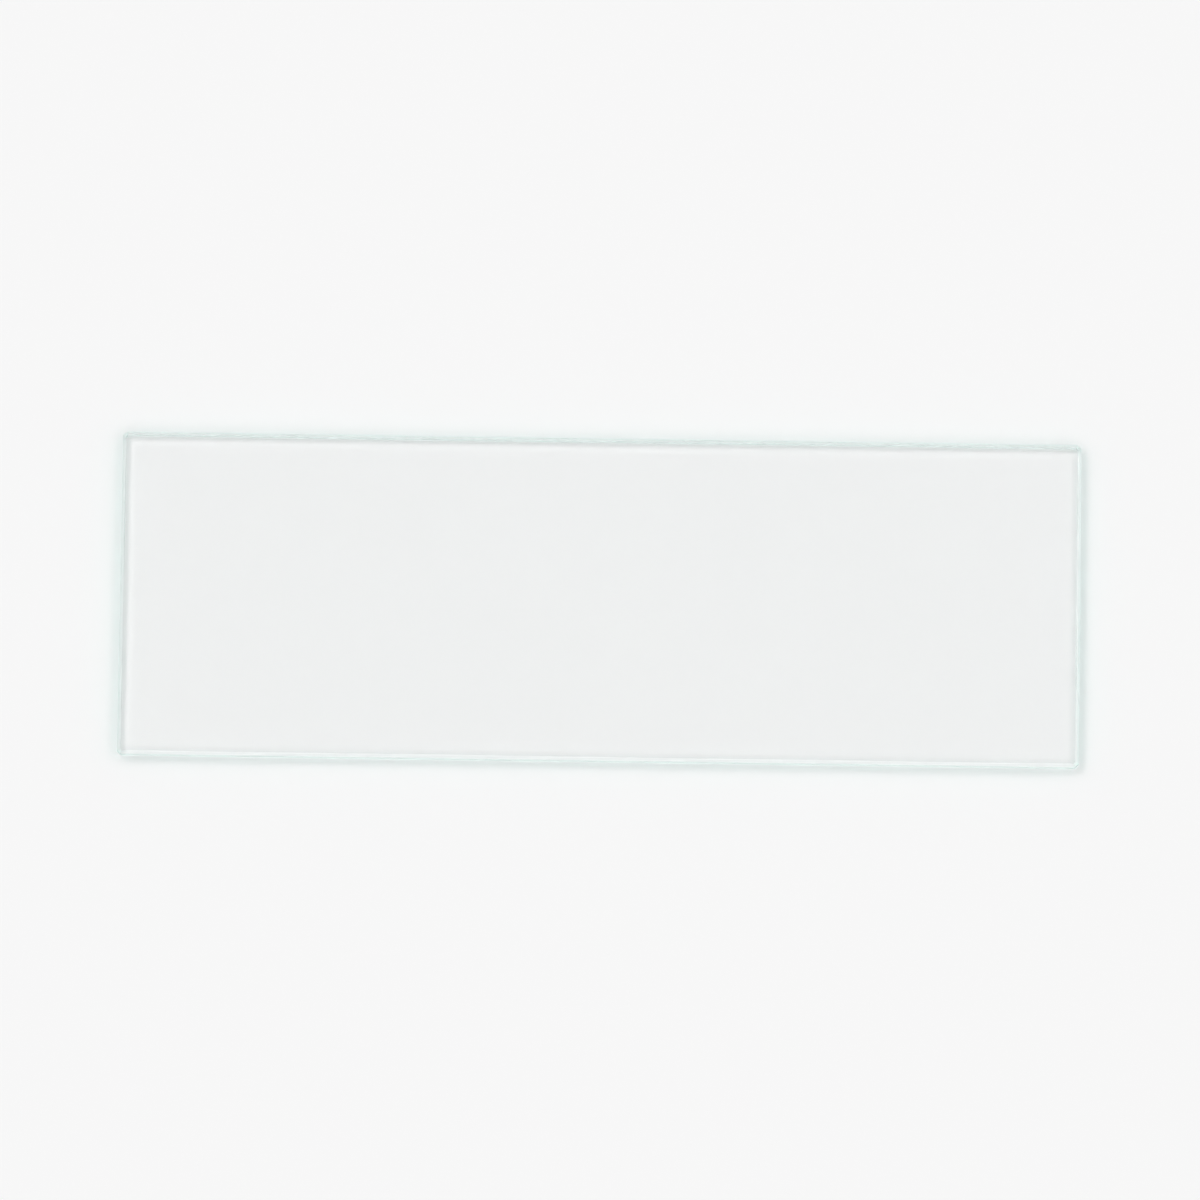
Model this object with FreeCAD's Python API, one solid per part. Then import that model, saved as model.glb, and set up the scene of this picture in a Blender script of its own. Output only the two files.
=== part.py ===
# A plain microscope slide with ground edges: one flat rectangle of clear soda-lime glass.
#
# The slide is cut from drawn sheet, so its two broad faces keep the sheet's own smooth, flat surface.
# Its four sides are then ground square, and the wheel breaks every sharp edge: a narrow 45-degree
# bevel, the arris, runs round both faces, and a small flat is dubbed across each upright corner.
# What is left of each side between its two arrises is the land.
#
# Frame: millimetres. +X runs along the slide, +Y across it, and +Z is up from the face it lies on.
# The origin is the middle of that underside.

import FreeCAD, Part
import os

# Driving dimensions
LENGTH = 76.0  # end to end, over the ground ends
WIDTH = 26.0  # side to side, over the ground long edges
THICKNESS = 1.1  # of the sheet, between the two broad faces
ARRIS = 0.25  # of the bevel round each face, measured across the face and down the side
CORNER_DUB = 0.3  # of the flat across each upright corner, measured along both of its sides

UNDERSIDE = 0.0  # height of the face that the slide lies on
ON_PLANE = 1e-6  # how near to a plane an edge lies to count as being in it


def lies_at(edge, height):
    """Whether the whole edge is at this height, as the rim of a broad face is."""
    box = edge.BoundBox
    return abs(box.ZMin - height) < ON_PLANE and abs(box.ZMax - height) < ON_PLANE


def cut_blank():
    """The rectangle as it is broken out of the sheet, with every corner and edge still sharp."""
    corner = FreeCAD.Vector(-LENGTH / 2, -WIDTH / 2, UNDERSIDE)
    return Part.makeBox(LENGTH, WIDTH, THICKNESS, corner)


def dub_corners(blank):
    """Grinds the small upright flat across each of the four corners."""
    upright = [edge for edge in blank.Edges if edge.BoundBox.ZLength > THICKNESS - ON_PLANE]
    return blank.makeChamfer(CORNER_DUB, upright)


def grind_arrises(plate):
    """Bevels the whole rim of both faces, so that the bevels meet in mitres where they turn a corner."""
    rims = [edge for edge in plate.Edges if lies_at(edge, UNDERSIDE) or lies_at(edge, THICKNESS)]
    return plate.makeChamfer(ARRIS, rims)


def glass_slide():
    """The finished slide, one solid."""
    return grind_arrises(dub_corners(cut_blank())).Solids[0]


os.makedirs("parts", exist_ok=True)
glass_slide().exportStep("parts/glass_slide.step")
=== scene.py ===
import math

import bmesh
import bpy
from mathutils import Euler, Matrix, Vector, noise


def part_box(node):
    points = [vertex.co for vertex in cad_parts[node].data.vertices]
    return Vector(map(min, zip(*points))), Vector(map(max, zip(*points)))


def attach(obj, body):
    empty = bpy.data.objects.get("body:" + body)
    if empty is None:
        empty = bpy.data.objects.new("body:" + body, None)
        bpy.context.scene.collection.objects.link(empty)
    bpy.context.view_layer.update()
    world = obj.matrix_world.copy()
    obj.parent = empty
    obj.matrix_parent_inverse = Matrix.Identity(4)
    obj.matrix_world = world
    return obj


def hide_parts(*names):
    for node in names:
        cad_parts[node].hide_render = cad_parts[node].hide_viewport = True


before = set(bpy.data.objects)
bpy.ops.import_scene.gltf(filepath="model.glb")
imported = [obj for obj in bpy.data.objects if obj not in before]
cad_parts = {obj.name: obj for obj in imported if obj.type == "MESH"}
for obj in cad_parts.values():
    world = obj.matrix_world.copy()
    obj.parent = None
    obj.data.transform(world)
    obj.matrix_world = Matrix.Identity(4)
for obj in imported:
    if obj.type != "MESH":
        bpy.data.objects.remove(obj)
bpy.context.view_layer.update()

# ---------------------------------------------------------------------------------------------
# The slide is one rectangle of drawn soda-lime glass, 1.1 mm thick. Its two broad faces keep the
# sheet's own bright surface. A diamond wheel has ground its four sides flat, dubbed the four
# upright corners and broken both rims with a 45-degree bevel, so that all its edges are satin.

MM = 0.001  # in metres, which every length here is in
UP = Vector((0, 0, 1))
ARRIS = 0.25 * MM  # leg of the ground bevel
CORNER_DUB = 0.3 * MM  # leg of the flat across an upright corner
STEP = 0.5 * MM  # between the points at which a bevel's line can stray
STRAYS = (  # how far the wheel strays from a straight line, and over what length of the edge
    (0.03 * MM, 8.0 * MM),
    (0.006 * MM, 1.5 * MM),
)
APART = 40 * MM  # keeps the upper and the lower bevel from straying alike
NEAR = 0.001 * MM  # two lengths that differ by less are the same
LEVEL = 0.9  # a face whose normal is more upright than this is a broad face
CREASE = math.radians(15)  # a ridge sharper than this stays crisp

MARK_LENGTH = 4.0 * MM  # of one mark of the wheel
MARK_WIDTH = 0.05 * MM
MARK_DEPTH = 0.02 * MM
MARK_RANGE = (0.3, 0.7)  # of the noise that stands for the marks
SATIN = (0.5, 0.75)  # roughness of ground glass, over that range

REFRACTION = 1.515
TINT = (0.9, 0.967, 0.955, 1)  # faint green-blue, from the iron in the glass
TINT_DEPTH = 12 * MM  # of glass, which white light crosses to take on that tint

low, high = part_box("glass_slide")
middle = (low + high) / 2
size = high - low

bm = bmesh.new()
bmesh.ops.create_cube(bm, size=1.0)
bmesh.ops.scale(bm, vec=size, verts=bm.verts)
bmesh.ops.translate(bm, vec=middle, verts=bm.verts)


def runs_along(edge, axis):
    """Whether an edge is parallel to the "x", "y" or "z" axis."""
    span = edge.verts[1].co - edge.verts[0].co
    return abs(getattr(span, axis)) > span.length - NEAR


def grind(edges, leg):
    """Takes a flat off each of these edges, as one touch of the wheel does."""
    bmesh.ops.bevel(
        bm,
        geom=edges,
        offset=leg,
        offset_type="OFFSET",
        affect="EDGES",
        segments=1,
        profile=0.5,
        material=-1,
    )


grind([e for e in bm.edges if runs_along(e, "z")], CORNER_DUB)
grind([e for e in bm.edges if not runs_along(e, "z")], ARRIS)

# Points along the lines where the bevels meet the broad faces and the lands. The cuts run on
# across each broad face, which is then made one flat again.
for axis in "xy":
    lines = [e for e in bm.edges if runs_along(e, axis)]
    bmesh.ops.subdivide_edges(bm, edges=lines, cuts=int(getattr(size, axis) / STEP))
for way in (-1, 1):
    bmesh.ops.dissolve_faces(bm, faces=[f for f in bm.faces if f.normal.z * way > LEVEL])

# The ground faces, and where on each of them the wheel's marks run.
ground = bm.faces.layers.float.new("ground")
wheel_marks = bm.loops.layers.uv.new("wheel_marks")  # metres along the edge and across it
bm.normal_update()
for face in bm.faces:
    if abs(face.normal.z) < LEVEL:
        face[ground] = 1.0
        along = UP.cross(face.normal).normalized()
        across = face.normal.cross(along)
        for loop in face.loops:
            loop[wheel_marks].uv = (loop.vert.co.dot(along), loop.vert.co.dot(across))

# Where the wheel bites deeper, the whole bevel sinks: its inner line moves in over the broad
# face, and its outer line moves over the land.
for v in bm.verts:
    upper = math.copysign(1, v.co.z - middle.z)
    place = v.co + UP * (upper * APART)
    bite = sum(depth * noise.noise(place / length) for depth, length in STRAYS)
    on_broad_face = abs(v.co.z - middle.z) > size.z / 2 - NEAR
    if on_broad_face:
        v.co -= bite * Vector((v.normal.x, v.normal.y, 0)).normalized()
    else:
        v.co.z -= bite * upper

bm.normal_update()
for face in bm.faces:
    face.smooth = True
for edge in bm.edges:
    edge.smooth = edge.calc_face_angle() < CREASE

mesh = bpy.data.meshes.new("slide")
bm.to_mesh(mesh)
bm.free()
slide = bpy.data.objects.new("slide", mesh)
bpy.context.scene.collection.objects.link(slide)

glass = bpy.data.materials.new("soda_lime_glass")
glass.use_nodes = True
nodes, links = glass.node_tree.nodes, glass.node_tree.links
shader = nodes["Principled BSDF"]
shader.inputs["Base Color"].default_value = (1, 1, 1, 1)
shader.inputs["IOR"].default_value = REFRACTION
shader.inputs["Transmission Weight"].default_value = 1.0

# The tint is in the bulk, so it shows only where light has come a good way through the glass.
bulk = nodes.new("ShaderNodeVolumeAbsorption")
bulk.inputs["Color"].default_value = TINT
bulk.inputs["Density"].default_value = 1 / TINT_DEPTH
links.new(bulk.outputs["Volume"], nodes["Material Output"].inputs["Volume"])

# The wheel leaves long fine marks, so the ground faces are satin and unevenly so.
on_ground = nodes.new("ShaderNodeAttribute")
on_ground.attribute_name = "ground"
edge_place = nodes.new("ShaderNodeUVMap")
edge_place.uv_map = "wheel_marks"
drawn_out = nodes.new("ShaderNodeMapping")
drawn_out.inputs["Scale"].default_value = (1 / MARK_LENGTH, 1 / MARK_WIDTH, 1)
links.new(edge_place.outputs["UV"], drawn_out.inputs["Vector"])
marks = nodes.new("ShaderNodeTexNoise")
marks.inputs["Scale"].default_value = 1.0
marks.inputs["Detail"].default_value = 2.0
links.new(drawn_out.outputs["Vector"], marks.inputs["Vector"])

satin = nodes.new("ShaderNodeMapRange")
satin.inputs["From Min"].default_value, satin.inputs["From Max"].default_value = MARK_RANGE
satin.inputs["To Min"].default_value, satin.inputs["To Max"].default_value = SATIN
links.new(marks.outputs["Fac"], satin.inputs["Value"])
roughness = nodes.new("ShaderNodeMath")
roughness.operation = "MULTIPLY"
links.new(satin.outputs["Result"], roughness.inputs[0])
links.new(on_ground.outputs["Fac"], roughness.inputs[1])
links.new(roughness.outputs["Value"], shader.inputs["Roughness"])

height = nodes.new("ShaderNodeMath")
height.operation = "MULTIPLY"
links.new(marks.outputs["Fac"], height.inputs[0])
links.new(on_ground.outputs["Fac"], height.inputs[1])
scored = nodes.new("ShaderNodeBump")
scored.inputs["Strength"].default_value = 1.0
scored.inputs["Distance"].default_value = MARK_DEPTH
links.new(height.outputs["Value"], scored.inputs["Height"])
links.new(scored.outputs["Normal"], shader.inputs["Normal"])

mesh.materials.append(glass)
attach(slide, "root")
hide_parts("glass_slide")

# ---------------------------------------------------------------------------------------------
# The studio floor: one round sheet of pale matt card, level, and wide enough that its rim lies
# outside every view from above it.

FLOOR_RADIUS = 8.0
FLOOR_SIDES = 96
FLOOR_GAP = 0.03 * MM  # the slide rests on specks of dust
CARD_WHITE = (0.95, 0.95, 0.95, 1)

bm = bmesh.new()
bmesh.ops.create_circle(bm, cap_ends=True, segments=FLOOR_SIDES, radius=FLOOR_RADIUS)
bmesh.ops.translate(bm, vec=(0, 0, low.z - FLOOR_GAP), verts=bm.verts)
bmesh.ops.recalc_face_normals(bm, faces=bm.faces)
floor_mesh = bpy.data.meshes.new("floor")
bm.to_mesh(floor_mesh)
bm.free()
floor = bpy.data.objects.new("floor", floor_mesh)
bpy.context.scene.collection.objects.link(floor)
card = bpy.data.materials.new("pale_card")
card.use_nodes = True
matt = card.node_tree.nodes["Principled BSDF"]
matt.inputs["Base Color"].default_value = CARD_WHITE
matt.inputs["Roughness"].default_value = 1.0
matt.inputs["Specular IOR Level"].default_value = 0.0
floor_mesh.materials.append(card)

# ---------------------------------------------------------------------------------------------
# The studio light: a ring of diffusing cloth all round, brightest half way up and darker overhead,
# where the camera looks in, and one wide soft lamp from the upper left.

KEY_FROM = Vector((-0.8, 0.7, 1.5))
KEY_WIDTH = math.radians(32)  # that the lamp's face fills, as the slide sees it
KEY_STRENGTH = 0.45  # in watts a square metre
RING = (  # height above the horizon, as its sine, and the cloth's brightness there
    (0.0, 0.66),
    (0.25, 0.62),
    (0.46, 0.64),
    (0.62, 1.3),
    (0.82, 1.3),
    (0.94, 0.28),
    (1.0, 0.1),
)

lamp = bpy.data.lights.new("key", "SUN")
lamp.energy = KEY_STRENGTH
lamp.angle = KEY_WIDTH
key = bpy.data.objects.new("key", lamp)
key.location = KEY_FROM
key.rotation_mode = "QUATERNION"
key.rotation_quaternion = KEY_FROM.to_track_quat("Z", "Y")
bpy.context.scene.collection.objects.link(key)

world = bpy.data.worlds.new("studio")
bpy.context.scene.world = world
world.use_nodes = True
nodes, links = world.node_tree.nodes, world.node_tree.links
direction = nodes.new("ShaderNodeTexCoord")
parts = nodes.new("ShaderNodeSeparateXYZ")
links.new(direction.outputs["Generated"], parts.inputs["Vector"])
cloth = nodes.new("ShaderNodeValToRGB")
cloth.color_ramp.interpolation = "EASE"
stops = cloth.color_ramp.elements
while len(stops) < len(RING):
    stops.new(1.0)
for stop, (sine, bright) in zip(stops, RING):
    stop.position = sine
    stop.color = (bright, bright, bright, 1)
links.new(parts.outputs["Z"], cloth.inputs["Fac"])
links.new(cloth.outputs["Color"], nodes["Background"].inputs["Color"])
nodes["Background"].inputs["Strength"].default_value = 1.0

# ---------------------------------------------------------------------------------------------
# The camera looks down on the slide through a long lens, a little from its near long edge, and is
# rolled a touch, so that the slide lies slightly askew across most of the picture's width.

ELEVATION = math.radians(78.7)  # 90 is straight down on the slide
ROLL = math.radians(0.82)  # of the camera about its own line of sight
DISTANCE = 1.4  # from the middle of the slide
SHARE = 0.8  # of the picture's width that the slide fills
NEAREST = 0.01  # that the lens draws
MOST_TURNS = 128  # light is mirrored to and fro in the thin glass many times before it leaves

lens = bpy.data.cameras.new("camera")
lens.lens = lens.sensor_width * DISTANCE * SHARE / size.x
lens.clip_start = NEAREST
camera = bpy.data.objects.new("camera", lens)
back = Vector((0, -math.cos(ELEVATION), math.sin(ELEVATION)))
camera.location = middle + back * DISTANCE
camera.rotation_mode = "QUATERNION"
camera.rotation_quaternion = back.to_track_quat("Z", "Y") @ Euler((0, 0, ROLL)).to_quaternion()
bpy.context.scene.collection.objects.link(camera)
bpy.context.scene.camera = camera

bpy.context.scene.view_settings.view_transform = "Standard"
rays = bpy.context.scene.cycles
rays.max_bounces = MOST_TURNS
rays.glossy_bounces = MOST_TURNS
rays.transmission_bounces = MOST_TURNS
rays.blur_glossy = 0.0  # so that the floor shows clear through the broad faces
